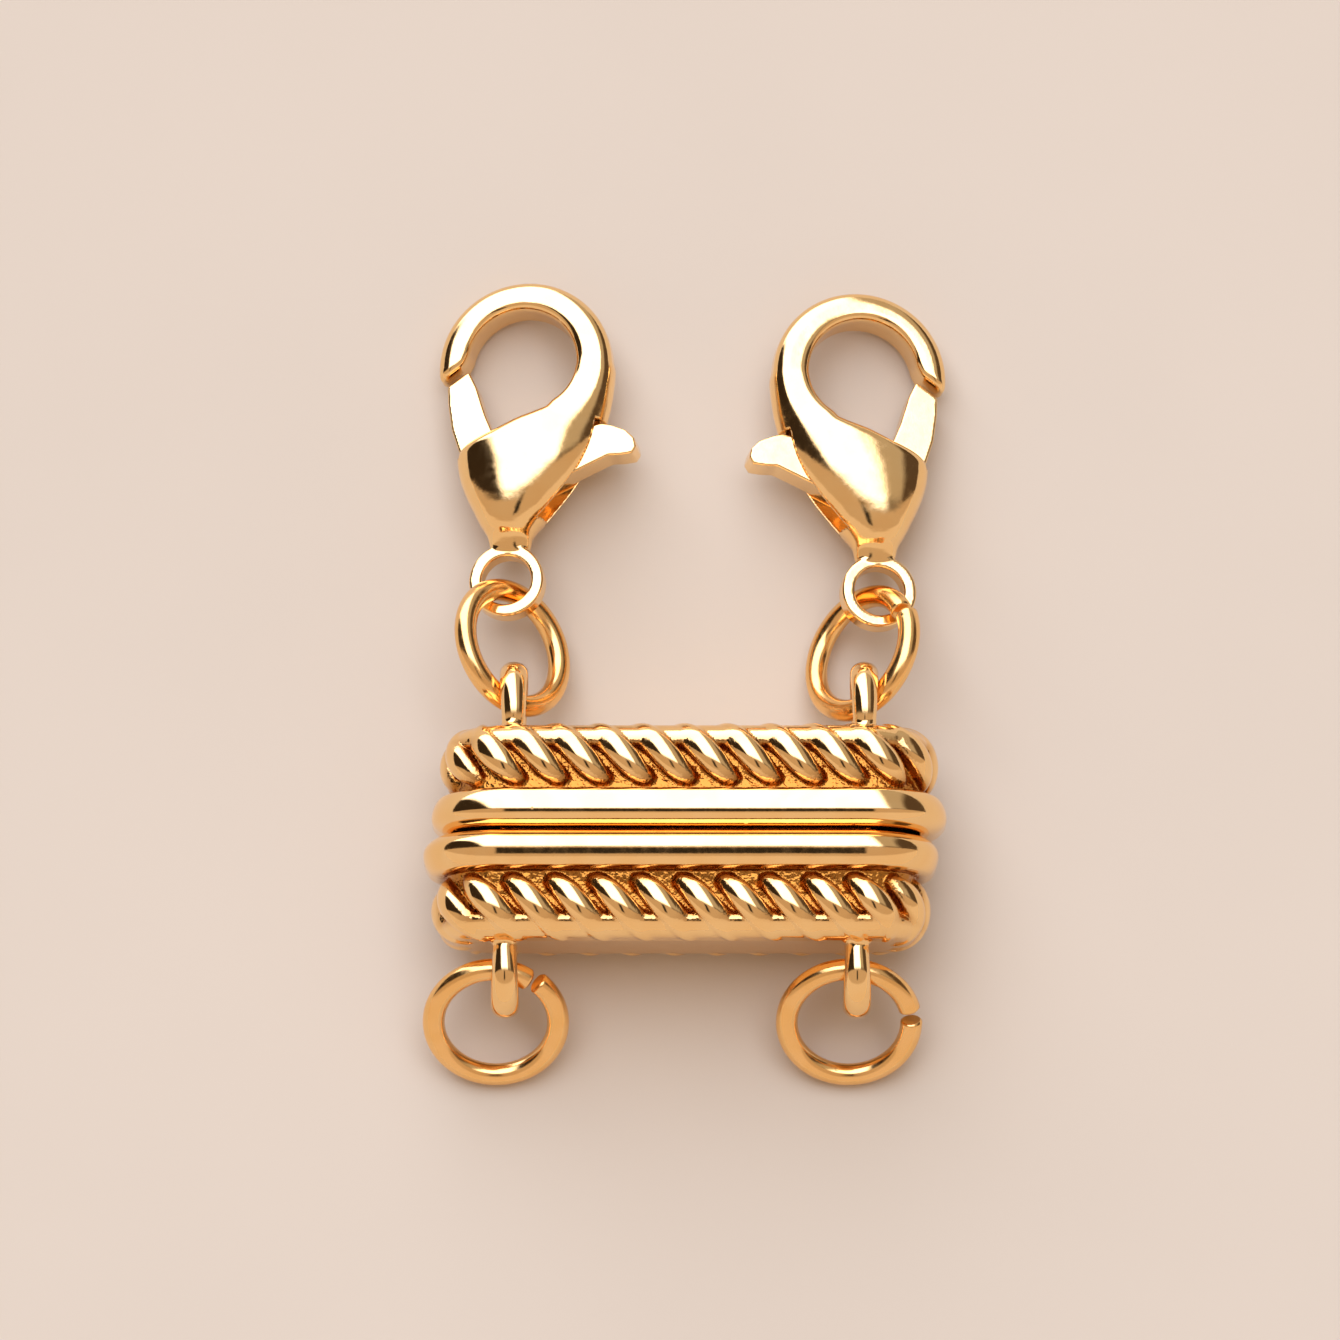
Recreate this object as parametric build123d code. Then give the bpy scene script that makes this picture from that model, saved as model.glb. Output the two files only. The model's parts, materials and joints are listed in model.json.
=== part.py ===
from build123d import *
from collections import namedtuple
import math
import os

# Two-strand magnetic clasp, millimetres. It lies on a table: X across, Y from the open jump rings
# towards the claws, Z up from the table. The origin is the middle of the underside of its box.

# Halves: one casting, used twice
half_width = 18.2
half_thickness = 6.2
half_depth = 3.8
corner_radius = 2.7
mating_gap = 0.05
lower_half_slip = 0.29

# Smooth half-round band beside the split
band_width = 1.45
band_rounding = 0.68
band_groove_depth = 0.9
band_overlap = 0.12

# Rope-twist relief
rope_recess = 0.28
rope_wall_inset = 0.03
strand_radius = 0.53
strand_bend = 1.4
strand_spacing = 1.5
strand_angle = 50.0
strand_relief = 0.36
core_rounding = 0.9
wall_rounding = 0.6
twist_phase = 0.49

# Cast loops on the end wall
loop_inset = 2.9
loop_wire = 0.85
loop_bend_radius = 1.25
loop_leg = 0.9
loop_root = 0.6

# Magnets in the mating face
magnet_diameter = 4.0
magnet_thickness = 2.0
magnet_inset = 4.8
magnet_clearance = 0.05

# Jump rings
ring_radius = 2.2
ring_wire = 0.78
closed_seam = 0.06
open_seam = 0.42

# Claw: eye, body and hook, in its own plane with the eye's centre at zero
eye_hole = 1.84
eye_wall = 0.42
eye_depth = 0.8
body_depth = 3.1
hook_radius = 3.12
hook_depth = 1.7
hook_reach = 7.95
hook_offset = 0.2
hook_hole_radius = 1.95
hook_hole_offset = 0.1
hook_hole_reach = 8.05
hook_edge_share = 0.4

# Lever with its gate arm, trigger and pin
lever_depth = 1.24
lever_gap = 0.06
boss_clearance = 0.15
boss_radius = 1.15
pivot_inset = 0.27
pivot_drop = 4.36
pin_diameter = 0.9
pin_seat = 0.5
pin_fit = 0.02
pin_running_fit = 0.04
pin_recess = 0.1

# How the claws lie
claw_lean = 3.5
claw_roll = 9.5
rest_steps = 5

# Claw body sections from the eye to the hook's centre. Along is a share of hook_reach, left and right
# are shares of hook_radius and depth is a share of body_depth.
Section = namedtuple("Section", "along left right depth")
body_sections = (
    Section(0.135, -0.20, 0.20, 0.26),
    Section(0.205, -0.28, 0.25, 0.50),
    Section(0.308, -0.44, 0.43, 0.78),
    Section(0.450, -0.63, 0.69, 0.95),
    Section(0.628, -0.73, 0.90, 1.00),
    Section(0.810, -0.80, 1.03, 0.82),
    Section(1.000, -0.88, 1.03, 0.52),
)

# Outlines in the claw's plane, each row a point across and along, as shares of hook_radius from the
# hook's centre.
gap_outline = (
    (0.285, -0.506),
    (-0.292, -0.845),
    (-0.590, -0.982),
    (-0.900, -1.130),
    (-1.300, -1.130),
    (-1.300, -0.510),
    (-0.998, -0.268),
    (-0.654, 0.017),
    (-0.100, 0.130),
)
slot_outline = (
    (-0.700, -1.110),
    (-0.545, -1.300),
    (-0.450, -1.590),
    (-0.300, -1.750),
    (0.000, -1.810),
    (1.700, -1.810),
    (1.700, -0.640),
    (0.880, -0.640),
    (0.340, -0.500),
    (-0.950, -0.750),
    (-0.950, -1.090),
)
gate_outline = (
    (-0.645, -0.085),
    (-0.540, -0.276),
    (-0.420, -0.600),
    (-0.280, -0.890),
    (-0.120, -1.200),
    (-0.380, -1.380),
    (-0.560, -1.170),
    (-0.690, -1.070),
    (-0.800, -0.790),
    (-0.862, -0.480),
    (-0.880, -0.275),
)
trigger_outline = (
    (-0.100, -1.070),
    (0.420, -0.790),
    (0.933, -0.688),
    (1.050, -0.704),
    (1.224, -0.762),
    (1.324, -0.852),
    (1.353, -0.955),
    (1.311, -1.038),
    (1.186, -1.062),
    (1.038, -1.070),
    (0.830, -1.180),
    (0.300, -1.470),
    (-0.100, -1.710),
)

# How each upper jump ring hangs between its loop and its claw's eye: the slopes of its plane, the turns
# from the loop to the ring's centre and on to the eye in degrees, where its seam is, and as shares of
# ring_wire the slack at the loop and at the eye and how far its wire is above the loop's middle.
Hang = namedtuple("Hang", "side slope_x slope_y loop_turn eye_turn seam loop_slack eye_slack rise")
hangs = (
    Hang("left", 0.931, 0.298, 8.8, 4.3, 266.0, 0.32, 0.295, 0.0),
    Hang("right", -0.980, 0.362, -15.3, 6.6, 42.0, 0.41, 0.577, -0.115),
)
# How each lower ring lies: the gap between its ends and where they are in degrees, and as shares of
# ring_wire its shift along X from its loop and how far its wire is above the loop's middle.
Lie = namedtuple("Lie", "side gap seam shift rise")
lies = (
    Lie("left", closed_seam, 48.0, -0.436, 0.244),
    Lie("right", open_seam, 8.0, -0.333, 0.244),
)

loop_spacing = half_width - 2 * loop_inset
magnet_spacing = half_width - 2 * magnet_inset
loop_height = half_thickness / 2
loop_inner_tip = half_depth + loop_leg + loop_bend_radius - loop_wire / 2
rope_start = band_width - band_overlap
rope_end = half_depth - rope_wall_inset
side_sign = {"left": -1, "right": 1}
pivot_place = Pos(hook_offset - pivot_inset, hook_reach - pivot_drop, 0)


def outline(width, thickness, radius, start, depth):
    """A rounded block across the clasp, from start to start + depth along Y."""
    plane = Plane(origin=(0, start, 0), x_dir=(1, 0, 0), z_dir=(0, 1, 0))
    return extrude(plane * RectangleRounded(width, thickness, radius), depth)


def perimeter(width, thickness, radius, distance):
    """Point and outward direction, in X and Z, at a distance round a rounded rectangle from its top middle."""
    across = width / 2 - radius
    up = thickness / 2 - radius
    turn = radius * math.pi / 2
    runs = (
        ("line", across, (0, up + radius), (1, 0), 90),
        ("arc", turn, (across, up), None, 90),
        ("line", 2 * up, (across + radius, up), (0, -1), 0),
        ("arc", turn, (across, -up), None, 0),
        ("line", 2 * across, (across, -up - radius), (-1, 0), -90),
        ("arc", turn, (-across, -up), None, -90),
        ("line", 2 * up, (-across - radius, -up), (0, 1), -180),
        ("arc", turn, (-across, up), None, -180),
        ("line", across, (-across, up + radius), (1, 0), -270),
    )
    left = distance % (4 * across + 4 * up + 4 * turn)
    for kind, length, start, direction, angle in runs:
        if left > length:
            left -= length
            continue
        if kind == "line":
            outward = math.radians(angle)
            point = (start[0] + direction[0] * left, start[1] + direction[1] * left)
        else:
            outward = math.radians(angle) - left / radius
            point = (start[0] + radius * math.cos(outward), start[1] + radius * math.sin(outward))
        break
    return point, (math.cos(outward), math.sin(outward))


def rounded(block, first, last):
    """The block with its outline rounded at its first and last face along Y."""
    faces = block.faces().sort_by(Axis.Y)
    block = fillet(faces[0].edges(), first)
    return fillet(block.faces().sort_by(Axis.Y)[-1].edges(), last)


def inset_outline(inset, start, end):
    """The half's rounded block drawn in by a depth on every side."""
    return outline(half_width - 2 * inset, half_thickness - 2 * inset, corner_radius - inset, start, end - start)


def strands():
    """The raised strands of the rope twist, each a bent round bar with round ends lying askew on the core."""
    askew = math.radians(strand_angle)
    half_chord = ((rope_end - rope_start) / 2 - strand_radius) / math.sin(askew)
    inset = rope_recess + strand_radius
    width = half_width - 2 * inset
    thickness = half_thickness - 2 * inset
    radius = corner_radius - inset
    length = 2 * (width + thickness) - 8 * radius + 2 * math.pi * radius
    count = round(length / strand_spacing)
    bend_axis = Axis((0, 0, -strand_bend), (0, 1, 0))
    half_turn = math.degrees(math.asin(half_chord / strand_bend))
    section = (Plane.YZ * Circle(strand_radius)).rotate(bend_axis, -half_turn)
    strand = revolve(section, axis=bend_axis, revolution_arc=2 * half_turn)
    for turn in (-half_turn, half_turn):
        strand = strand + Sphere(strand_radius).rotate(bend_axis, turn)
    placed = []
    for i in range(count):
        (x, z), (out_x, out_z) = perimeter(width, thickness, radius, (i + twist_phase) * length / count)
        along = Vector(out_z * math.cos(askew), -math.sin(askew), -out_x * math.cos(askew))
        middle = (x, (rope_start + rope_end) / 2, z)
        plane = Plane(origin=middle, x_dir=along, z_dir=(out_x, 0, out_z))
        placed.append(plane.location * strand)
    return placed


def loop():
    """A cast U of round wire standing in the YZ plane, its legs starting inside the end wall."""
    leg_length = loop_leg + loop_root
    leg = extrude(Plane.XZ * Circle(loop_wire / 2), -leg_length)
    section = Plane.XZ * Pos(0, -loop_bend_radius) * Circle(loop_wire / 2)
    bend = revolve(section, axis=Axis.X, revolution_arc=180)
    shape = Pos(0, half_depth + loop_leg, 0) * bend
    for height in (-loop_bend_radius, loop_bend_radius):
        shape = shape + Pos(0, half_depth - loop_root, height) * leg
    return shape


def cast_half():
    """One half about its own middle, with its mating face towards -Y and its loops towards +Y."""
    start = mating_gap / 2
    band = rounded(inset_outline(0, start, band_width), band_rounding, band_rounding)
    spine = inset_outline(band_groove_depth, start, half_depth / 2)
    core = inset_outline(rope_recess + strand_relief, rope_start, half_depth)
    core = rounded(core, core_rounding, wall_rounding)
    body = band + spine + core + strands()
    for side in side_sign.values():
        body = body + Pos(side * loop_spacing / 2, 0, 0) * loop()
        pocket = magnet(magnet_clearance, magnet_clearance)
        body = body - Pos(side * magnet_spacing / 2, 0, 0) * pocket
    return body


def magnet(round_it=0.0, behind=0.0):
    """A disc at the mating face, or with clearances the pocket that it sits in."""
    plane = Plane(origin=(0, mating_gap / 2, 0), x_dir=(1, 0, 0), z_dir=(0, 1, 0))
    return extrude(plane * Circle(magnet_diameter / 2 + round_it), magnet_thickness + behind)


def polygon(rows):
    """A flat face in the claw's plane from a table of shares of hook_radius about the hook's centre."""
    points = [(hook_offset + across * hook_radius, hook_reach + along * hook_radius) for across, along in rows]
    return make_face(Polyline(*points, close=True))


def claw_body():
    """Hook, body and eye, with the slot, the gate's gap and the blind bore for the pin."""
    sections = []
    for row in body_sections:
        middle = (row.left + row.right) / 2 * hook_radius + hook_offset * row.along
        plane = Plane(origin=(middle, row.along * hook_reach, 0), x_dir=(1, 0, 0), z_dir=(0, 1, 0))
        sections.append(plane * Ellipse((row.right - row.left) / 2 * hook_radius, row.depth * body_depth / 2))
    shape = loft(sections)
    hook_disc = Cylinder(hook_radius, hook_depth)
    hook_disc = fillet(hook_disc.edges().filter_by(GeomType.CIRCLE), hook_depth * hook_edge_share)
    shape = shape + Pos(hook_offset, hook_reach, 0) * hook_disc
    # The eye's turn starts on the side that lies inside the body
    eye_section = Plane.YZ * Pos(eye_hole / 2 + eye_wall / 2, 0) * Ellipse(eye_wall / 2, eye_depth / 2)
    shape = shape + revolve(eye_section, axis=Axis.Z)

    shape = shape - Pos(hook_hole_offset, hook_hole_reach, 0) * Cylinder(hook_hole_radius, 2 * body_depth)
    shape = shape - extrude(polygon(gap_outline), body_depth, both=True)
    slot = polygon(slot_outline) + pivot_place * Circle(boss_radius + boss_clearance)
    shape = shape - extrude(slot, lever_depth / 2 + lever_gap, both=True)
    return shape - pin_bore()


def pin():
    """The pin from just under the back of the body to its blind seat in the front wall."""
    back = body_depth / 2 - pin_recess
    length = back + lever_depth / 2 + lever_gap + pin_seat
    return pivot_place * extrude(Plane.XY.offset(-back) * Circle(pin_diameter / 2), length)


def pin_bore():
    """The bore for the pin, open at the back of the body."""
    length = body_depth + lever_depth / 2 + lever_gap + pin_seat + pin_fit
    return pivot_place * extrude(Plane.XY.offset(-body_depth) * Circle(pin_diameter / 2 + pin_fit), length)


def lever():
    """Gate arm, boss and trigger in one flat piece."""
    flat = pivot_place * Circle(boss_radius) + polygon(gate_outline) + polygon(trigger_outline)
    flat = flat - pivot_place * Circle(pin_diameter / 2 + pin_running_fit)
    return extrude(flat, lever_depth / 2, both=True)


def unit(x, y, z):
    """A vector of length one."""
    return Vector(x, y, z).normalized()


def ring(centre, normal, gap, seam):
    """A round-wire ring whose ends are a gap apart, at an angle from the side that faces +X."""
    towards_y = (Vector(0, 1, 0) - normal * normal.Y).normalized()
    plane = Plane(origin=centre, x_dir=towards_y.cross(normal), z_dir=normal)
    missing = math.degrees(gap / ring_radius)
    section = Plane.XZ * Pos(ring_radius, 0) * Circle(ring_wire / 2)
    wire = revolve(section, axis=Axis.Z, revolution_arc=360 - missing)
    return plane.location * wire.rotate(Axis.Z, seam + missing / 2)


def hanging_ring(hang):
    """The ring between a loop and a claw's eye, and the point where its wire passes through the eye."""
    normal = unit(hang.slope_x, hang.slope_y, 1)
    towards_y = (Vector(0, 1, 0) - normal * normal.Y).normalized()
    towards_x = towards_y.cross(normal)

    def from_turn(degrees):
        turn = math.radians(degrees)
        return (towards_y * math.cos(turn) + towards_x * math.sin(turn)) * ring_radius

    held = Vector(
        side_sign[hang.side] * loop_spacing / 2,
        loop_inner_tip - ring_wire / 2 - hang.loop_slack * ring_wire,
        loop_height + hang.rise * ring_wire,
    )
    centre = held + from_turn(hang.loop_turn)
    return ring(centre, normal, closed_seam, hang.seam), centre + from_turn(hang.eye_turn)


def lying_ring(lie):
    """A ring through a loop of the lower half, with its far side on the table."""
    slope = math.asin((loop_height + (lie.rise - 0.5) * ring_wire) / (2 * ring_radius))
    top = half_depth + (loop_inner_tip - half_depth) / 2
    centre = Vector(
        side_sign[lie.side] * loop_spacing / 2 + lie.shift * ring_wire - lower_half_slip,
        -top - ring_radius * math.cos(slope),
        ring_wire / 2 + ring_radius * math.sin(slope),
    )
    return ring(centre, unit(0, -math.sin(slope), math.cos(slope)), lie.gap, lie.seam)


def claw_plane(side, passing, eye_slack, pitch):
    """Where a claw lies: its plane, with the ring's wire inside the eye and the hook end pitched down."""
    sign = -side_sign[side]
    lean = math.radians(claw_lean) * sign
    along = Vector(math.sin(lean) * math.cos(pitch), math.cos(lean) * math.cos(pitch), -math.sin(pitch))
    across = Vector(math.cos(lean), -math.sin(lean), 0)
    front = across.cross(along)
    roll = math.radians(claw_roll) * sign
    eye = passing + along * (eye_hole / 2 - (0.5 + eye_slack) * ring_wire)
    return Plane(
        origin=eye,
        x_dir=across * math.cos(roll) + front * math.sin(roll),
        z_dir=front * math.cos(roll) - across * math.sin(roll),
    )


def resting_plane(side, passing, eye_slack, shape):
    """The claw's plane at the pitch that brings its lowest point to the table."""
    pitch = 0.0
    for _ in range(rest_steps):
        low = (claw_plane(side, passing, eye_slack, pitch).location * shape).bounding_box().min.Z
        pitch += math.asin(low / (hook_reach + hook_radius / 2))
    return claw_plane(side, passing, eye_slack, pitch)


upper = Pos(0, 0, loop_height) * cast_half()
lower = Pos(-lower_half_slip, 0, 0) * upper.rotate(Axis.Z, 180)
nodes = {"upper_shell": upper, "lower_shell": lower}
for side, sign in side_sign.items():
    disc = Pos(sign * magnet_spacing / 2, 0, loop_height) * magnet()
    nodes["upper_magnet_" + side] = disc
    nodes["lower_magnet_" + side] = Pos(-lower_half_slip, 0, 0) * mirror(disc, Plane.XZ)
for lie in lies:
    nodes["jump_ring_lower_" + lie.side] = lying_ring(lie)

left_pieces = {"claw_body": claw_body(), "lever": lever(), "pivot_pin": pin()}
mirrored_pieces = {name: mirror(shape, Plane.YZ) for name, shape in left_pieces.items()}
claw_places = {}
for hang in hangs:
    pieces = left_pieces if hang.side == "left" else mirrored_pieces
    nodes["jump_ring_upper_" + hang.side], passing = hanging_ring(hang)
    claw_places[hang.side] = resting_plane(hang.side, passing, hang.eye_slack, pieces["claw_body"])
    for name, shape in pieces.items():
        nodes[name + "_" + hang.side] = claw_places[hang.side].location * shape

whole = Compound(children=[Compound(shape.solids()) for shape in nodes.values()]).bounding_box()
to_origin = Pos(-whole.center().X, -whole.center().Y, -whole.min.Z)
os.makedirs("parts", exist_ok=True)
for name, shape in nodes.items():
    nodes[name] = to_origin * shape
    export_step(nodes[name], f"parts/{name}.step")
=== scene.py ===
from collections import namedtuple
import json
import math

import bpy
import numpy as np
from mathutils import Matrix, Vector


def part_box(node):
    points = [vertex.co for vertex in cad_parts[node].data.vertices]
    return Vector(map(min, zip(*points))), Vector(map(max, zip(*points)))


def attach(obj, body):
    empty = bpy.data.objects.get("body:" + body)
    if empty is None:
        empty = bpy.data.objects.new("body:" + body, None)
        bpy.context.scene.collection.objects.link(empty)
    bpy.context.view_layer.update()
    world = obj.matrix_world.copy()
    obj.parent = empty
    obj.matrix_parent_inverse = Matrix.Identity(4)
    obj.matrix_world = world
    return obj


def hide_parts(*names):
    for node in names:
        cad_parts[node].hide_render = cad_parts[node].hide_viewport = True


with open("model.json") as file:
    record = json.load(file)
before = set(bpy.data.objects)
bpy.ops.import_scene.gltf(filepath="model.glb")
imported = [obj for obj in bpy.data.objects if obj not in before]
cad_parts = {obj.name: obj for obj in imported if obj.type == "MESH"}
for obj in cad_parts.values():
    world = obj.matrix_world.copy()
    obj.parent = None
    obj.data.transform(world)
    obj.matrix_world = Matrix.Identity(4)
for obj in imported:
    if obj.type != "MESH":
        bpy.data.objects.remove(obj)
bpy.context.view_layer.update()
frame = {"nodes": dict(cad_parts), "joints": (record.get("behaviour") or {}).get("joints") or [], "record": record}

# Two-strand magnetic clasp in polished gold, lying on a pale table. Forms are worked out in millimetres
# and written to meshes in metres.
mm = 0.001

# Halves
half_width = 18.2
half_thickness = 6.2
half_depth = 3.8
corner_radius = 2.7
mating_gap = 0.05
band_width = 1.45

# The band's crown leans away from the split: a wide arc, a narrow arc towards the split and a small edge
crown_place = 0.64
crown_radius = 1.06
split_edge_radius = 0.85
split_edge_drop = 0.07
crease_softness = 0.05
band_edge = 0.16

# Spine under the band and the rope, rising from its end up to the band
spine_inset = 1.0
spine_slope = 0.2
spine_end = 2.2

# Rope twist: bars askew over a core, curling at both ends
strand_count = 26
twist_phase = 0.49
strand_angle = 49.0
strand_place = 2.57
strand_bend = 1.66
strand_half_width = 0.46
strand_height = 0.31
strand_inner_length = 1.08
strand_taper = 0.28
strand_flare = 0.14
strand_outer_length = 1.9
strand_curl = 0.05
strand_fillet = 0.05
rope_recess = 0.28
# hollow_start and hollow_reach set where the painted shade in the rope's hollows begins, inwards from the outline,
# and over what distance it grows to full.
hollow_start = 0.42
hollow_reach = 0.3
path_inset = 0.81
core_inset = 0.98
core_start = 1.5
core_rounding = 0.7
wall_inset = 0.56
wall_start = 2.92
wall_inner_rounding = 0.45
wall_outer_rounding = 0.85
wall_fillet = 0.15
band_fillet = 0.05

# Cast loops, flared at the root and wider across the tip
loop_inset = 2.9
loop_wire = 0.85
loop_root_width = 0.80
loop_tip_width = 1.02
loop_bend_radius = 1.25
loop_leg = 0.9
loop_leg_curve = 0.7
loop_root = 0.6
loop_fillet = 0.22

# Jump rings, opened ends sprung inwards (negative) or outwards
Sprung = namedtuple("Sprung", "first last")
sprung_ends = {
    "jump_ring_lower_left": Sprung(-0.10, 0.02),
    "jump_ring_upper_right": Sprung(-0.08, 0.05),
}
level = Sprung(0.0, 0.0)
sprung_share = 0.16
end_edge = 0.07

# Magnet pockets
magnet_diameter = 4.0
magnet_thickness = 2.0
magnet_inset = 4.8
magnet_clearance = 0.05

# Claw, in its own plane with the eye's centre at zero
eye_hole = 1.78
eye_wall = 0.45
eye_depth = 0.8
eye_edge = 0.11
body_depth = 3.1
front_fullness = 2.15
flank_fullness = 2.6
back_fullness = 2.0
hook_radius = 3.12
hook_depth = 1.7
hook_reach = 7.95
hook_offset = 0.2
hook_hole_radius = 1.95
hook_hole_offset = 0.1
hook_hole_reach = 8.05
front_rounding = 0.5
back_rounding = 0.78
hole_rounding = 0.36
edge_softness = 0.07
body_fillet = 0.5
dome_edge = 0.1
eye_fillet = 0.1

# Lever and pin
lever_depth = 1.24
lever_gap = 0.06
boss_clearance = 0.15
boss_radius = 1.15
pivot_inset = 0.27
pivot_drop = 4.36
pin_diameter = 0.9
pin_seat = 0.5
pin_fit = 0.02
pin_running_fit = 0.04
lever_edge = 0.09
lever_blend = 0.1
corner_cut = 0.08

# Table top, with its reach, its drop below the clasp and its paper
table_reach = 3000.0
table_drop = 0.005
table_roughness = 0.9
table_colour = (0.655, 0.575, 0.48, 1)
table_shade = (0.645, 0.566, 0.472, 1)

# Mesh fineness
shell_cell = 0.08
claw_cell = 0.062
lever_cell = 0.05
ring_steps = 220
wire_steps = 28

# How points settle on a form's surface
slope_step = 0.004
least_slope = 0.05
settling_rounds = 4

# Room around the forms in their boxes, and the lever's box as multiples of hook_radius
margin = 0.2
lever_box_below = 1.8
lever_box_beside = 1.5

# Guards against dividing by nothing
tiny = 1e-9
small = 1e-3
least_divisor = 0.1

# Light: zones of the studio as seen from the clasp, painted over each other in turn. Left and right are
# degrees across X, front and back are degrees from overhead towards -Y and +Y. A slanted zone leans left
# towards the back.
Zone = namedtuple("Zone", "left right front back soft slanted colour")
room_colour = (0.84, 0.68, 0.56, 1)
light_slant = 0.27
zones = (
    Zone(-95, 95, -40, 190, 3, False, (0.62, 0.47, 0.35)),
    Zone(-95, 0, -4, 190, 3, False, (0.035, 0.024, 0.016)),
    Zone(0, 95, -4, 190, 3, False, (0.10, 0.07, 0.05)),
    Zone(27, 56, 0, 110, 6, True, (0.52, 0.46, 0.40)),
    Zone(-25, 28, -1, 93, 5, True, (3.1, 3.15, 3.5)),
    Zone(-5, 5, -30, -7, 3, False, (0.03, 0.025, 0.02)),
)

# Camera, as in the photograph
camera_distance = 400.0
camera_tilt = 10.5
aim = (-0.54, 0.625, 0.0)
view_width = 47.86
sensor_width = 36.0
clip_near = 10.0
clip_far = 20000.0

# Claw body sections from the neck to the hook's centre. Along is a share of hook_reach, left and right
# are shares of hook_radius and depth is a share of body_depth.
Section = namedtuple("Section", "along left right depth")
body_sections = (
    Section(0.135, -0.225, 0.220, 0.27),
    Section(0.175, -0.250, 0.235, 0.36),
    Section(0.208, -0.280, 0.245, 0.47),
    Section(0.232, -0.322, 0.275, 0.60),
    Section(0.262, -0.376, 0.330, 0.70),
    Section(0.308, -0.446, 0.429, 0.80),
    Section(0.369, -0.536, 0.543, 0.88),
    Section(0.450, -0.634, 0.686, 0.95),
    Section(0.628, -0.730, 0.900, 1.00),
    Section(0.810, -0.760, 1.000, 0.82),
    Section(1.000, -0.780, 0.970, 0.52),
)

# Outlines in the claw's plane, each row a point across and along, as shares of hook_radius from the
# hook's centre.
gap_outline = (
    (0.285, -0.506),
    (-0.292, -0.845),
    (-0.590, -0.982),
    (-0.900, -1.130),
    (-1.300, -1.130),
    (-1.300, -0.510),
    (-0.998, -0.268),
    (-0.654, 0.017),
    (-0.100, 0.130),
)
slot_outline = (
    (-0.700, -1.110),
    (-0.545, -1.300),
    (-0.450, -1.590),
    (-0.300, -1.750),
    (0.000, -1.810),
    (1.700, -1.810),
    (1.700, -0.640),
    (0.880, -0.640),
    (0.340, -0.500),
    (-0.950, -0.750),
    (-0.950, -1.090),
)
gate_outline = (
    (-0.645, -0.085),
    (-0.540, -0.276),
    (-0.420, -0.600),
    (-0.280, -0.890),
    (-0.120, -1.200),
    (-0.380, -1.380),
    (-0.560, -1.170),
    (-0.690, -1.070),
    (-0.800, -0.790),
    (-0.862, -0.480),
    (-0.880, -0.275),
)
trigger_outline = (
    (-0.100, -1.070),
    (0.420, -0.790),
    (0.933, -0.688),
    (1.050, -0.704),
    (1.224, -0.762),
    (1.324, -0.852),
    (1.353, -0.955),
    (1.311, -1.038),
    (1.186, -1.062),
    (1.038, -1.070),
    (0.830, -1.180),
    (0.300, -1.470),
    (-0.100, -1.710),
)

loop_spacing = half_width - 2 * loop_inset
magnet_spacing = half_width - 2 * magnet_inset
path_radius = corner_radius - path_inset
across = half_width / 2 - corner_radius
up = half_thickness / 2 - corner_radius
path_length = 4 * (across + up) + 2 * math.pi * path_radius
strand_pitch = path_length / strand_count
pivot = (hook_offset - pivot_inset, hook_reach - pivot_drop)
side_sign = {"left": -1, "right": 1}


# Signed distances: negative inside a form, in millimetres

def join(a, b, softness):
    """Union of two forms with a fillet of that size between them."""
    share = np.clip(0.5 + 0.5 * (b - a) / softness, 0, 1)
    return b + (a - b) * share - softness * share * (1 - share)


def cut(a, b, softness):
    """Form a without form b, its new edges rounded by that size."""
    return -join(-a, b, softness)


def rounded_pair(a, b, radius):
    """Where two distances are both inside, with the edge between them rounded."""
    a = a + radius
    b = b + radius
    return np.hypot(np.maximum(a, 0), np.maximum(b, 0)) + np.minimum(np.maximum(a, b), 0) - radius


def outline_distance(x, z):
    """Distance to the half's rounded outline in X and Z."""
    qx = np.abs(x) - across
    qz = np.abs(z) - up
    outside = np.hypot(np.maximum(qx, 0), np.maximum(qz, 0))
    return outside + np.minimum(np.maximum(qx, qz), 0) - corner_radius


def path_position(x, z):
    """Distance along the rope's path, from the top middle and clockwise seen from the loops' end."""
    qx = np.abs(x) - across
    qz = np.abs(z) - up
    corner = across + path_radius * np.arctan2(np.maximum(qx, 0), np.maximum(qz, tiny))
    side = across + path_radius * math.pi / 2 + up - np.abs(z)
    quarter = np.where(qz >= np.minimum(qx, 0), np.where(qx > 0, corner, np.abs(x)), side)
    quarter = np.where((qz <= 0) & (qx > qz), side, quarter)
    half_turn = path_length / 2
    from_top = np.where(z < 0, half_turn - quarter, quarter)
    return np.where(x < 0, path_length - from_top, from_top)


def block(outer, y, inset, start, end, first, last):
    """The half's outline drawn in by an inset from start to end along Y, with its two rims rounded."""
    middle = (start + end) / 2
    rounding = np.where(y < middle, first, last)
    return rounded_pair(outer + inset, np.abs(y - middle) - (end - start) / 2, rounding)


def band_form(y, outer):
    """The smooth band: its crown, its drop to the split and its edge beside the rope."""
    def arc(place, radius, drop):
        """Distance to an arc whose top lies that much below the outline."""
        down = np.maximum(radius + drop + outer, 0)
        return np.hypot(y - place, down) - radius

    crown = arc(crown_place, crown_radius, 0)
    split_edge = arc(mating_gap / 2 + split_edge_radius, split_edge_radius, -split_edge_drop)
    form = cut(crown, -split_edge, crease_softness)
    return rounded_pair(form, y - band_width, band_edge)


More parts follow.
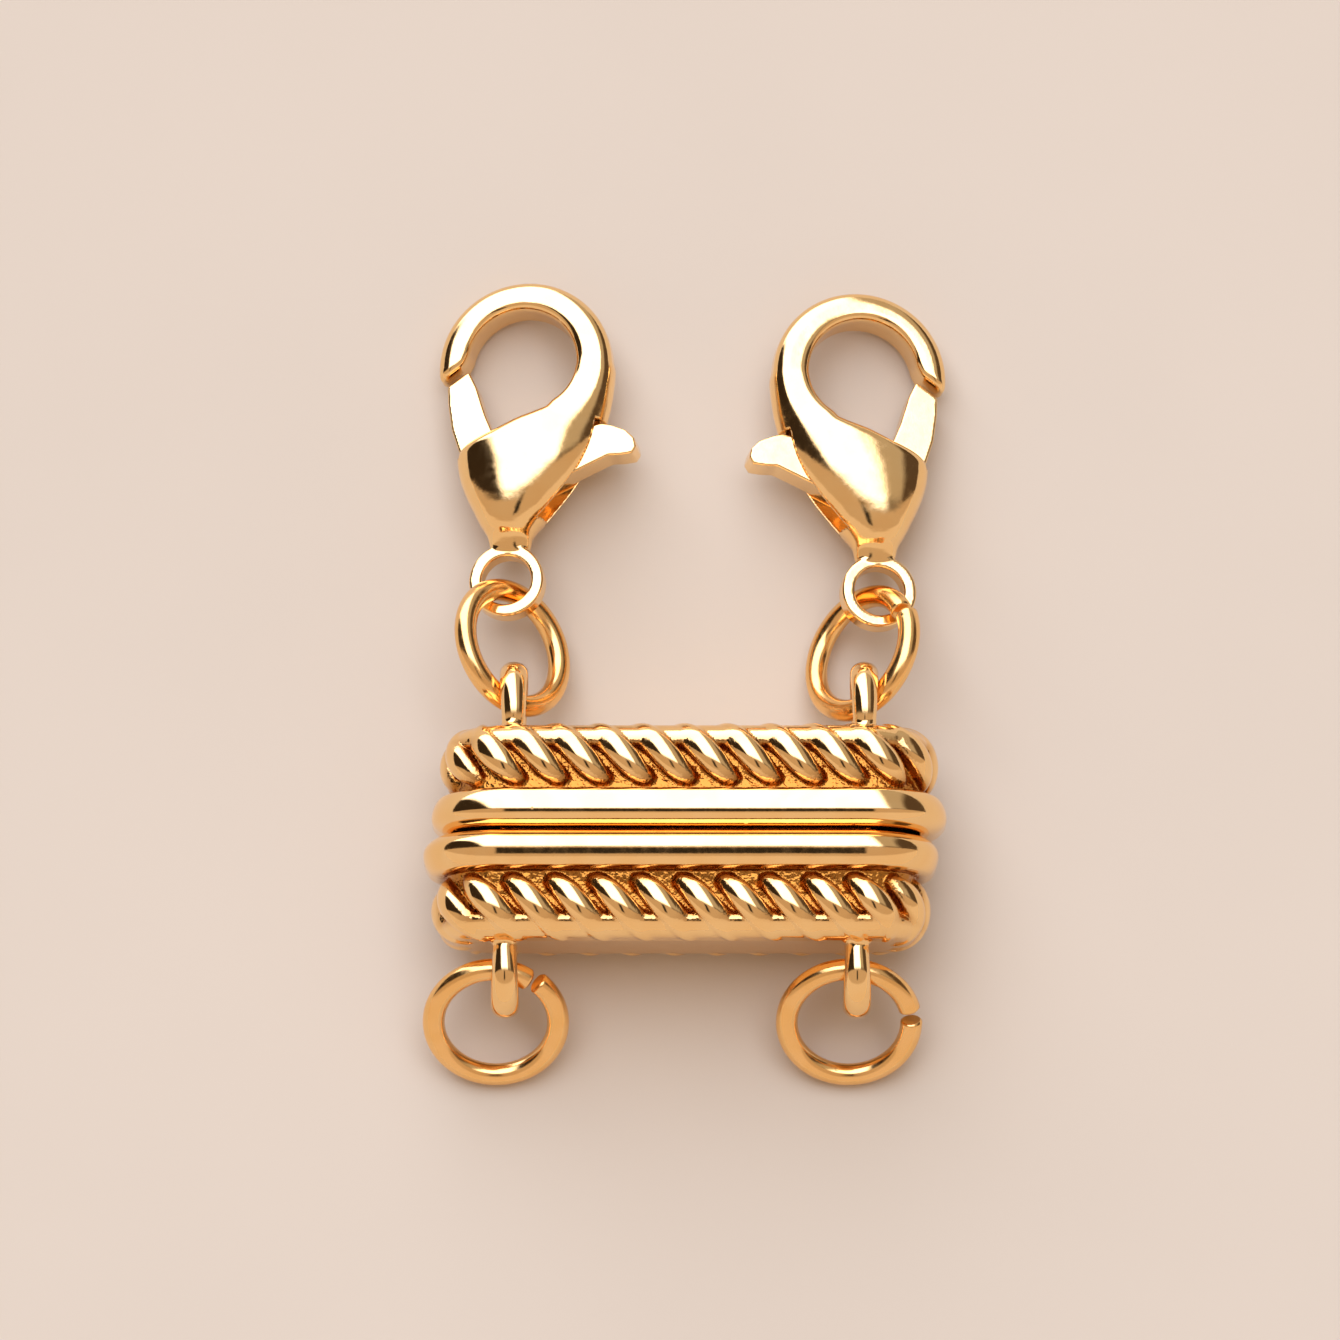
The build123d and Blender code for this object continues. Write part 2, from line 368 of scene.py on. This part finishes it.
def strands(x, y, z, outer):
    """Raised bars with rounded tops and upright sides, each bent over the crown."""
    askew = math.radians(strand_angle)
    position = path_position(x, z) / strand_pitch - twist_phase
    position = position - np.round(position)
    out = y - strand_place
    height = strand_bend + strand_height + rope_recess + outer
    form = None
    for neighbour in (0, 1, -1):
        off = (position - neighbour) * strand_pitch
        along = out * math.sin(askew) - off * math.cos(askew)
        sideways = off * math.sin(askew) + out * math.cos(askew)
        length = strand_bend * np.arctan2(along, np.maximum(height, least_divisor))
        above = np.maximum(np.hypot(along, height) - strand_bend, 0)
        past = np.maximum(np.maximum(length - strand_outer_length, -strand_inner_length - length), 0)
        sideways = sideways + strand_curl * length ** 3
        inwards = np.clip(-length / strand_inner_length, 0, 1)
        outwards = np.clip(length / strand_outer_length, 0, 1)
        thin = strand_half_width * (1 - strand_taper * inwards ** 2 + strand_flare * outwards ** 2)
        wide = np.hypot(sideways, past) / thin
        tall = above / strand_height
        share = np.hypot(wide, tall)
        slope = np.hypot(wide / strand_half_width, tall / strand_height)
        bar = share * (share - 1) / np.maximum(slope, least_divisor)
        form = bar if form is None else np.minimum(form, bar)
    return form


def loops(x, y, z):
    """The two cast loops, wider across the tip than at the root."""
    past = y - half_depth - loop_leg
    away = np.hypot(np.where(past > 0, past, past * loop_leg_curve), z) - loop_bend_radius
    tip_share = np.clip((y - half_depth) / (loop_leg + loop_bend_radius), 0, 1)
    wide = (loop_root_width + (loop_tip_width - loop_root_width) * tip_share) / 2
    share = np.hypot((np.abs(x) - loop_spacing / 2) / wide, away / (loop_wire / 2))
    form = (share - 1) * loop_wire / 2
    return np.maximum(form, half_depth - loop_root - y)


def half_form(points):
    """One cast half, its mating face at the split and its loops towards +Y."""
    x, y, z = points.T
    outer = outline_distance(x, z)
    start = mating_gap / 2
    sloped = outer - spine_slope * np.clip(spine_end - y, 0, spine_end - band_width)
    spine = block(sloped, y, spine_inset, start, spine_end, first=0, last=0)
    core = block(outer, y, core_inset, core_start, half_depth, core_rounding, wall_outer_rounding)
    wall = rounded_pair(outer + wall_inset, y - half_depth, wall_outer_rounding)
    wall = rounded_pair(wall, wall_start - y, wall_inner_rounding)
    form = join(core, wall, wall_fillet)
    form = join(form, strands(x, y, z, outer), strand_fillet)
    form = join(form, spine, wall_fillet)
    form = join(form, band_form(y, outer), band_fillet)
    form = join(form, loops(x, y, z), loop_fillet)
    pocket_radius = magnet_diameter / 2 + magnet_clearance
    pocket = np.hypot(np.abs(x) - magnet_spacing / 2, z) - pocket_radius
    pocket = np.maximum(pocket, y - start - magnet_thickness - magnet_clearance)
    return cut(form, pocket, crease_softness)


def half_recess_and_shade(points):
    """How far into the rope's hollows each point of a half is, from 0 to 1. This share sets the painted shade
    there and the duller polish.
    """
    x, y, z = points.T
    # Painted shade grows inwards from the outline, away from the band and before the wall.
    deep = (-outline_distance(x, z) - hollow_start) / hollow_reach
    beside_band = np.clip((y - crown_place) / hollow_reach, 0, 1)
    before_wall = np.clip((wall_start + wall_inner_rounding - y) / hollow_reach, 0, 1)
    return np.clip(deep, 0, 1) * beside_band * before_wall


def curve_through(at, rows, values):
    """Smooth curve through a value for each row, with even slopes at the rows."""
    rows = np.array(rows)
    values = np.array(values)
    slopes = np.gradient(values, rows)
    i = np.clip(np.searchsorted(rows, at) - 1, 0, len(rows) - 2)
    gap = rows[i + 1] - rows[i]
    t = np.clip((at - rows[i]) / gap, 0, 1)
    first = (1 + 2 * t) * (1 - t) ** 2 * values[i] + t * (1 - t) ** 2 * gap * slopes[i]
    return first + t * t * (3 - 2 * t) * values[i + 1] + t * t * (t - 1) * gap * slopes[i + 1]


def smoothed(rows, rounds=2):
    """An outline from shares of hook_radius to millimetres, with its corners cut into curves."""
    points = np.array([(hook_offset + a * hook_radius, hook_reach + b * hook_radius) for a, b in rows])
    for _ in range(rounds):
        after = np.roll(points, -1, axis=0)
        near = points * (1 - corner_cut) + after * corner_cut
        far = points * corner_cut + after * (1 - corner_cut)
        points = np.stack([near, far], axis=1).reshape(-1, 2)
    return points


def polygon_distance(u, v, points):
    """Signed distance to a closed outline."""
    nearest = np.full(u.shape, np.inf)
    inside = np.zeros(u.shape, bool)
    for (ax, ay), (bx, by) in zip(points, np.roll(points, -1, axis=0)):
        ex, ey = bx - ax, by - ay
        t = np.clip(((u - ax) * ex + (v - ay) * ey) / (ex * ex + ey * ey), 0, 1)
        nearest = np.minimum(nearest, (u - ax - t * ex) ** 2 + (v - ay - t * ey) ** 2)
        crosses = (ay > v) != (by > v)
        if ey:
            inside ^= crosses & (u < ax + (v - ay) * ex / ey)
    return np.sqrt(nearest) * np.where(inside, -1, 1)


def claw_form(points):
    """Hook, body and eye, with the slot, the gate's gap and the bore for the pin."""
    u, v, w = points.T
    along = [row.along * hook_reach for row in body_sections]
    left = curve_through(v, along, [row.left * hook_radius for row in body_sections])
    right = curve_through(v, along, [row.right * hook_radius for row in body_sections])
    deep = curve_through(v, along, [row.depth * body_depth / 2 for row in body_sections])
    middle = (left + right) / 2 + hook_offset * v / hook_reach
    wide = (right - left) / 2
    front = np.where(u < middle, flank_fullness, front_fullness)
    fullness = np.where(w > 0, front, back_fullness)
    a = np.abs(u - middle) / wide
    b = np.abs(w) / deep
    reach = np.maximum((a ** fullness + b ** fullness) ** (1 / fullness), small)
    slope = np.hypot((a / reach) ** (fullness - 1) / wide, (b / reach) ** (fullness - 1) / deep)
    body = (reach - 1) / slope
    body = rounded_pair(body, np.maximum(along[0] - v, v - hook_reach), dome_edge)

    from_hook = np.hypot(u - hook_offset, v - hook_reach)
    hook_rounding = np.where(w > 0, front_rounding, back_rounding)
    disc = rounded_pair(from_hook - hook_radius, np.abs(w) - hook_depth / 2, hook_rounding)
    form = join(body, disc, body_fillet)

    from_eye = np.hypot(u, v)
    eye = np.abs(from_eye - eye_hole / 2 - eye_wall / 2) - eye_wall / 2
    eye = rounded_pair(eye, np.abs(w) - eye_depth / 2, eye_edge)
    body_end = np.maximum(form, eye_hole / 2 + eye_edge - from_eye)
    form = join(body_end, eye, eye_fillet)

    hole = np.hypot(u - hook_hole_offset, v - hook_hole_reach) - hook_hole_radius
    gap = polygon_distance(u, v, smoothed(gap_outline, rounds=0))
    form = cut(form, join(hole, gap, hole_rounding), hole_rounding)
    from_pivot = np.hypot(u - pivot[0], v - pivot[1])
    slot = polygon_distance(u, v, smoothed(slot_outline, rounds=0))
    slot = join(slot, from_pivot - boss_radius - boss_clearance, edge_softness)
    slot = np.maximum(slot, np.abs(w) - lever_depth / 2 - lever_gap)
    form = cut(form, slot, edge_softness)
    bore = from_pivot - pin_diameter / 2 - pin_fit
    bore = np.maximum(bore, w - lever_depth / 2 - lever_gap - pin_seat - pin_fit)
    return cut(form, bore, pin_fit)


def lever_form(points):
    """Gate arm, boss and trigger in one flat piece with softened edges."""
    u, v, w = points.T
    flat = polygon_distance(u, v, smoothed(gate_outline))
    flat = join(flat, polygon_distance(u, v, smoothed(trigger_outline)), lever_blend)
    from_pivot = np.hypot(u - pivot[0], v - pivot[1])
    flat = join(flat, from_pivot - boss_radius, lever_blend)
    flat = np.maximum(flat, pin_diameter / 2 + pin_running_fit - from_pivot)
    return rounded_pair(flat, np.abs(w) - lever_depth / 2, lever_edge)


# Meshes from forms

def surface_of(form, low, high, cell):
    """Points, outward normals and four-sided faces of a form's surface inside a box."""
    low = np.array(low, float)
    counts = np.ceil((np.array(high, float) - low) / cell).astype(int) + 1
    axes = [low[k] + cell * np.arange(counts[k]) for k in range(3)]
    grid = np.stack(np.meshgrid(*axes, indexing="ij"), axis=-1)
    values = form(grid.reshape(-1, 3)).reshape(counts)
    total = np.zeros(tuple(counts - 1) + (3,))
    hits = np.zeros(tuple(counts - 1))
    edges = []
    for k in range(3):
        first = [slice(None)] * 3
        second = [slice(None)] * 3
        first[k] = slice(None, -1)
        second[k] = slice(1, None)
        start, end = values[tuple(first)], values[tuple(second)]
        crossing = np.argwhere((start < 0) != (end < 0))
        at = tuple(crossing.T)
        share = start[at] / (start[at] - end[at])
        place = low + cell * crossing.astype(float)
        place[:, k] += cell * share
        one, two = [j for j in range(3) if j != k]
        around = []
        for step in ((0, 0), (1, 0), (1, 1), (0, 1)):
            home = crossing.copy()
            home[:, one] -= step[0]
            home[:, two] -= step[1]
            around.append(home)
            where = tuple(home.T)
            np.add.at(total, where, place)
            np.add.at(hits, where, 1)
        edges.append((around, (start[at] < 0) == (k != 1)))
    used = hits > 0
    number = np.full(used.shape, -1)
    number[used] = np.arange(used.sum())
    points = total[used] / hits[used][:, None]
    faces = []
    for around, forward in edges:
        ring = np.stack([number[tuple(home.T)] for home in around], axis=1)
        faces.append(np.where(forward[:, None], ring, ring[:, ::-1]))
    points, normals = settled(form, points, cell)
    return points, normals, np.concatenate(faces)


def slope_of(form, points):
    """The form's gradient at each point."""
    return np.stack([
        (form(points + step) - form(points - step)) / (2 * slope_step) for step in np.eye(3) * slope_step
    ], axis=1)


def settled(form, points, cell):
    """Points moved on to the surface by at most half a cell a round, and its normals there."""
    for _ in range(settling_rounds):
        slope = slope_of(form, points)
        step = form(points)[:, None] * slope / np.maximum((slope ** 2).sum(1), least_slope)[:, None]
        length = np.linalg.norm(step, axis=1, keepdims=True)
        points = points - step * np.minimum(1, 0.5 * cell / np.maximum(length, tiny))
    slope = slope_of(form, points)
    return points, slope / np.linalg.norm(slope, axis=1, keepdims=True)


def add_piece(name, points, faces, smooth, material, body, node):
    """The mesh of a piece from points in millimetres, riding on a body and standing for a node."""
    mesh = bpy.data.meshes.new(name)
    mesh.from_pydata((points * mm).tolist(), [], faces)
    mesh.polygons.foreach_set("use_smooth", smooth)
    mesh.materials.append(material)
    piece = bpy.data.objects.new(name, mesh)
    bpy.context.scene.collection.objects.link(piece)
    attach(piece, body)
    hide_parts(node)
    return mesh


def add_form(name, form, low, high, cell, place, material, body, node, recess=None):
    """A smooth piece made of a form in its own frame and put where place says."""
    points, normals, faces = surface_of(form, low, high, cell)
    turn = np.array(place.to_3x3())
    placed = points @ turn.T + np.array(place.translation)
    if np.linalg.det(turn) < 0:
        faces = faces[:, ::-1]
    mesh = add_piece(name, placed, faces.tolist(), [True] * len(faces), material, body, node)
    mesh.normals_split_custom_set_from_vertices((normals @ turn.T).tolist())
    # A recess share, where given, is stored on the points for the material's painted shade in the hollows.
    if recess:
        mesh.attributes.new("recess", "FLOAT", "POINT").data.foreach_set("value", recess(points))


# Materials

# Unevenness: the size of the features in millimetres, the layers of finer detail and their strength
Texture = namedtuple("Texture", "size detail strength")
wave_texture = Texture(2.6, 0.0, 0.5)
dimple_texture = Texture(0.9, 1.0, 0.5)
scratch_texture = Texture(0.25, 3.0, 0.6)
grain_texture = Texture(0.05, 2.0, 0.6)
hollow_texture = Texture(0.3, 2.0, 0.6)
cloud_texture = Texture(14.0, 2.0, 0.5)

# Heights of waves and dimples as multiples of a metal's ripple, and what its hollows add
wave_height = 9
dimple_height = 3
hollow_roughness = 0.12
hollow_relief = 0.08

# Pits lie this far apart in millimetres, and their rims run over this range of shares of it
pit_spacing = 1.3
pit_rim = (0.03, 0.07)

# Ranges of a texture's value over which a colour and a polish change
blend_range = (0.3, 0.7)
polish_range = (0.35, 0.75)


class Nodes:
    """A short way to write a node tree."""

    def __init__(self, tree):
        self.tree = tree
        tree.nodes.clear()

    def add(self, kind, settings=None, **inputs):
        """A node with its settings, and its inputs given as values or as other nodes' outputs."""
        node = self.tree.nodes.new(kind)
        for key, value in (settings or {}).items():
            setattr(node, key, value)
        for key, value in inputs.items():
            numbered = key[0] == "i" and key[1:].isdigit()
            socket = node.inputs[int(key[1:]) if numbered else key.replace("_", " ")]
            if isinstance(value, bpy.types.NodeSocket):
                self.tree.links.new(value, socket)
            else:
                socket.default_value = value
        return node

    def math(self, operation, first, second=0.0, third=0.0):
        """The result of a calculation."""
        settings = {"operation": operation}
        return self.add("ShaderNodeMath", settings, i0=first, i1=second, i2=third).outputs[0]

    def mix(self, share, first, second):
        """The first colour, taken by a share towards the second."""
        settings = {"data_type": "RGBA"}
        return self.add("ShaderNodeMix", settings, i0=share, i6=first, i7=second).outputs[2]

    def ramp(self, value, low, high, at_low=0.0, at_high=1.0):
        """A value taken smoothly from one range to another."""
        settings = {"interpolation_type": "SMOOTHSTEP"}
        node = self.add("ShaderNodeMapRange", settings, i0=value, i1=low, i2=high, i3=at_low, i4=at_high)
        return node.outputs[0]


def noise(nodes, place, texture):
    """Noise of a texture's size, detail and strength."""
    return nodes.add(
        "ShaderNodeTexNoise", Vector=place, Scale=1 / (texture.size * mm),
        Detail=texture.detail, Roughness=texture.strength,
    ).outputs[0]


def metal(name, colour, deep_colour, smooth, rough, ripple, grain, pits, hollow_shade_colour=None):
    """Plated metal with uneven polish, slow ripples, fine grain and pits. In hollows it turns rougher and bumpier,
    and its colour is taken towards a painted shade colour. Heights in mm.
    """
    material = bpy.data.materials.new(name)
    material.use_nodes = True
    nodes = Nodes(material.node_tree)
    place = nodes.add("ShaderNodeTexCoord").outputs["Object"]
    wave = noise(nodes, place, wave_texture)
    dimples = noise(nodes, place, dimple_texture)
    scratches = noise(nodes, place, scratch_texture)
    grains = noise(nodes, place, grain_texture)
    spots = nodes.add("ShaderNodeTexVoronoi", Vector=place, Scale=1 / (pit_spacing * mm))
    pit = nodes.ramp(spots.outputs["Distance"], *pit_rim, -1.0, 0.0)
    height = nodes.math("MULTIPLY", wave, ripple * wave_height * mm)
    height = nodes.math("MULTIPLY_ADD", dimples, ripple * dimple_height * mm, height)
    height = nodes.math("MULTIPLY_ADD", scratches, ripple * mm, height)
    height = nodes.math("MULTIPLY_ADD", grains, grain * mm, height)
    height = nodes.math("MULTIPLY_ADD", pit, pits * mm, height)
    tint = nodes.mix(nodes.ramp(dimples, *blend_range), colour, deep_colour)
    roughness = nodes.ramp(scratches, *polish_range, smooth, rough)
    # Painted shade: deep in the rope's hollows the colour is taken towards a dark brown where shade falls. The
    # added roughness and relief there are the hollows' matte floor.
    if hollow_shade_colour:
        hollow = nodes.add("ShaderNodeAttribute", {"attribute_name": "recess"}).outputs["Fac"]
        tint = nodes.mix(hollow, tint, hollow_shade_colour)
        roughness = nodes.math("MULTIPLY_ADD", hollow, hollow_roughness, roughness)
        coarse = nodes.math("MULTIPLY", noise(nodes, place, hollow_texture), hollow)
        height = nodes.math("MULTIPLY_ADD", coarse, hollow_relief * mm, height)
    bump = nodes.add("ShaderNodeBump", Strength=1.0, Distance=1.0, Height=height).outputs[0]
    shader = nodes.add(
        "ShaderNodeBsdfPrincipled", Base_Color=tint, Metallic=1.0, Roughness=roughness, Normal=bump
    )
    nodes.add("ShaderNodeOutputMaterial", Surface=shader.outputs[0])
    return material


# The polished gold's hollow colour is a painted shade, a dark brown laid deep in the rope's hollows.
gold = metal(
    "polished_gold", colour=(0.97, 0.65, 0.30, 1), deep_colour=(0.96, 0.62, 0.27, 1),
    smooth=0.07, rough=0.13, ripple=0.0016, grain=0.0001, pits=0.004,
    hollow_shade_colour=(0.46, 0.19, 0.035, 1),
)
claw_gold = metal(
    "cast_gold", colour=(0.97, 0.66, 0.31, 1), deep_colour=(0.96, 0.63, 0.28, 1),
    smooth=0.08, rough=0.16, ripple=0.003, grain=0.0004, pits=0.004,
)
lever_gold = metal(
    "grainy_gold", colour=(0.97, 0.67, 0.32, 1), deep_colour=(0.96, 0.65, 0.30, 1),
    smooth=0.12, rough=0.22, ripple=0.0012, grain=0.0012, pits=0.004,
)
wire_gold = metal(
    "wire_gold", colour=(0.95, 0.58, 0.235, 1), deep_colour=(0.93, 0.55, 0.20, 1),
    smooth=0.15, rough=0.24, ripple=0.001, grain=0.0003, pits=0.004,
)
nickel = metal(
    "magnet_nickel", colour=(0.66, 0.65, 0.63, 1), deep_colour=(0.60, 0.59, 0.57, 1),
    smooth=0.16, rough=0.30, ripple=0.002, grain=0.0008, pits=0.006,
)


# Halves

def half_place(name, turn):
    """Where a half's own frame is: the middle of its width and height, at the split."""
    low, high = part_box(name)
    face = low.y if turn > 0 else high.y
    middle = Vector(((low.x + high.x) / 2, face, half_thickness / 2 * mm)) / mm
    middle.y -= turn * mating_gap / 2
    return Matrix.Translation(middle) @ Matrix.Rotation(0 if turn > 0 else math.pi, 4, "Z")


half_low = (-half_width / 2 - margin, -margin, -half_thickness / 2 - margin)
half_length = half_depth + loop_leg + loop_bend_radius + loop_wire
half_high = (half_width / 2 + margin, half_length, half_thickness / 2 + margin)
for name, turn in (("upper", 1), ("lower", -1)):
    add_form(
        name + "_half", half_form, half_low, half_high, shell_cell, half_place(name + "_shell", turn),
        gold, name + "_half", name + "_shell", half_recess_and_shade,
    )


# Claws and levers

def claw_place(side):
    """A claw's own frame, from its lever's hinge and its hook. Its X is reversed on the right."""
    hinge = next(j for j in frame["joints"] if j["name"] == "lever_" + side)
    hook = next(m for m in frame["record"]["mounts"] if m["name"] == "hook_" + side)
    front = Vector(hook["axis"]).normalized()
    hinge_point = Vector(hinge["pos_m"]) / mm
    towards_hook = (Vector(hook["pos_m"]) / mm - hinge_point).normalized()
    mirror = -side_sign[side]
    angle = math.atan2(hook_hole_reach - pivot[1], mirror * (hook_hole_offset - pivot[0]))
    x_axis = towards_hook * math.cos(angle) - front.cross(towards_hook) * math.sin(angle)
    y_axis = front.cross(x_axis)
    origin = hinge_point - x_axis * mirror * pivot[0] - y_axis * pivot[1]
    place = Matrix((x_axis * mirror, y_axis, front)).transposed().to_4x4()
    place.translation = origin
    return place


claw_low = (-hook_radius - margin, -eye_hole / 2 - eye_wall - margin, -body_depth / 2 - margin)
claw_high = (hook_radius + hook_offset + margin, hook_reach + hook_radius + margin, body_depth / 2 + margin)
lever_low = (-hook_radius, hook_reach - lever_box_below * hook_radius, -lever_depth / 2 - margin)
lever_high = (lever_box_beside * hook_radius, hook_reach, lever_depth / 2 + margin)
for side in side_sign:
    place = claw_place(side)
    add_form(
        "claw_" + side, claw_form, claw_low, claw_high, claw_cell, place,
        claw_gold, "upper_half", "claw_body_" + side,
    )
    add_form(
        "claw_lever_" + side, lever_form, lever_low, lever_high, lever_cell, place,
        lever_gold, "lever_" + side, "lever_" + side,
    )


# Jump rings

def ring_facts(node):
    """Centre, normal, radius and wire of a ring node, and where its wire starts and ends."""
    points = np.array([v.co for v in node.data.vertices], float) / mm
    normal = np.linalg.svd(points - points.mean(0), full_matrices=False)[2][2]
    normal = normal if normal[2] > 0 else -normal
    flat_x = np.cross((0, 1, 0), normal)
    flat_x /= np.linalg.norm(flat_x)
    flat_y = np.cross(normal, flat_x)
    a, b = points @ flat_x, points @ flat_y
    fit = np.linalg.lstsq(np.stack([a, b, np.ones_like(a)], 1), a * a + b * b, rcond=None)[0]
    ca, cb = fit[0] / 2, fit[1] / 2
    far = np.hypot(a - ca, b - cb)
    radius, wire = (far.max() + far.min()) / 2, far.max() - far.min()
    angles = np.sort(np.arctan2(b - cb, a - ca))
    gaps = np.diff(np.append(angles, angles[0] + 2 * math.pi))
    seam = gaps.argmax()
    centre = flat_x * ca + flat_y * cb + normal * (points @ normal).mean()
    start = angles[(seam + 1) % len(angles)]
    return centre, (flat_x, flat_y, normal), radius, wire, start, 2 * math.pi - gaps[seam]


def add_ring(name, body):
    """A bent wire with cut ends, which may be sprung a little inwards or outwards."""
    centre, (flat_x, flat_y, normal), radius, wire, start, sweep = ring_facts(frame["nodes"][name])
    share = np.linspace(0, 1, ring_steps + 1)
    turn = start + sweep * share
    sprung = sprung_ends.get(name, level)
    first = np.clip(1 - share / sprung_share, 0, 1) ** 2 * sprung.first
    last = np.clip(1 - (1 - share) / sprung_share, 0, 1) ** 2 * sprung.last
    from_end = np.minimum(share, 1 - share) * sweep * radius
    thick = wire / 2 - end_edge * np.clip(1 - from_end / end_edge, 0, 1) ** 2
    round_wire = 2 * math.pi * np.arange(wire_steps) / wire_steps
    out = (radius + first + last)[:, None] + thick[:, None] * np.cos(round_wire)[None, :]
    height = thick[:, None] * np.sin(round_wire)[None, :]
    points = centre + (out * np.cos(turn)[:, None])[..., None] * flat_x
    points = points + (out * np.sin(turn)[:, None])[..., None] * flat_y
    points = (points + height[..., None] * normal).reshape(-1, 3)
    i, j = np.meshgrid(np.arange(ring_steps), np.arange(wire_steps), indexing="ij")
    here, beside = i * wire_steps + j, i * wire_steps + (j + 1) % wire_steps
    sides = np.stack([here, here + wire_steps, beside + wire_steps, beside], -1).reshape(-1, 4).tolist()
    first_end = list(range(wire_steps))
    last_end = [ring_steps * wire_steps + k for k in reversed(range(wire_steps))]
    smooth = [True] * len(sides) + [False] * 2
    add_piece(name + "_wire", points, sides + [first_end, last_end], smooth, wire_gold, body, name)


for name in ("upper", "lower"):
    for side in side_sign:
        add_ring(f"jump_ring_{name}_{side}", name + "_half")

for side in side_sign:
    frame["nodes"]["pivot_pin_" + side].data.materials.clear()
    frame["nodes"]["pivot_pin_" + side].data.materials.append(lever_gold)
    for name in ("upper", "lower"):
        frame["nodes"][f"{name}_magnet_{side}"].data.materials.clear()
        frame["nodes"][f"{name}_magnet_{side}"].data.materials.append(nickel)


# Table, light and camera

def table():
    """A pale table top."""
    reach = table_reach * mm
    drop = table_drop * mm
    corners = [(x * reach, y * reach, -drop) for x, y in ((-1, -1), (1, -1), (1, 1), (-1, 1))]
    mesh = bpy.data.meshes.new("table_top")
    mesh.from_pydata(corners, [], [(0, 1, 2, 3)])
    material = bpy.data.materials.new("table_paper")
    material.use_nodes = True
    nodes = Nodes(material.node_tree)
    place = nodes.add("ShaderNodeTexCoord").outputs["Object"]
    clouds = nodes.ramp(noise(nodes, place, cloud_texture), *blend_range)
    tint = nodes.mix(clouds, table_colour, table_shade)
    shader = nodes.add("ShaderNodeBsdfPrincipled", Base_Color=tint, Roughness=table_roughness)
    nodes.add("ShaderNodeOutputMaterial", Surface=shader.outputs[0])
    mesh.materials.append(material)
    top = bpy.data.objects.new("table_top", mesh)
    bpy.context.scene.collection.objects.link(top)


def studio():
    """A large soft light overhead and behind, set askew, a dim room and a dark patch for the camera."""
    world = bpy.data.worlds.new("studio")
    bpy.context.scene.world = world
    world.use_nodes = True
    nodes = Nodes(world.node_tree)
    direction = nodes.add("ShaderNodeTexCoord").outputs["Generated"]
    parts = nodes.add("ShaderNodeSeparateXYZ", i0=direction).outputs
    degree = math.degrees(1)
    sideways = nodes.math("MULTIPLY", nodes.math("ARCSINE", parts[0]), degree)
    back = nodes.math("MULTIPLY", nodes.math("ARCTAN2", parts[1], parts[2]), degree)
    askew = nodes.math("MULTIPLY_ADD", back, light_slant, sideways)
    light = room_colour
    for zone in zones:
        across_it = askew if zone.slanted else sideways
        edges = (
            (across_it, zone.left, 0.0, 1.0),
            (across_it, zone.right, 1.0, 0.0),
            (back, zone.front, 0.0, 1.0),
            (back, zone.back, 1.0, 0.0),
        )
        mask = 1.0
        for angle, edge, before, after in edges:
            side = nodes.ramp(angle, edge - zone.soft, edge + zone.soft, before, after)
            mask = nodes.math("MULTIPLY", side, mask)
        light = nodes.mix(mask, light, zone.colour + (1,))
    seen = nodes.add("ShaderNodeLightPath").outputs["Is Camera Ray"]
    background = nodes.add("ShaderNodeBackground", Color=nodes.mix(seen, light, room_colour))
    nodes.add("ShaderNodeOutputWorld", Surface=background.outputs[0])


def camera():
    """The photograph's view: nearly straight down, tipped a little towards the open rings."""
    data = bpy.data.cameras.new("camera")
    data.sensor_width = sensor_width
    data.sensor_fit = "HORIZONTAL"
    data.lens = sensor_width * camera_distance / view_width
    data.clip_start = clip_near * mm
    data.clip_end = clip_far * mm
    shot = bpy.data.objects.new("camera", data)
    bpy.context.scene.collection.objects.link(shot)
    tilt = math.radians(camera_tilt)
    away = Vector((0, -math.sin(tilt), math.cos(tilt))) * camera_distance
    shot.location = (Vector(aim) + away) * mm
    shot.rotation_euler = (tilt, 0, 0)
    bpy.context.scene.camera = shot


table()
studio()
camera()
bpy.context.scene.view_settings.view_transform = "Standard"
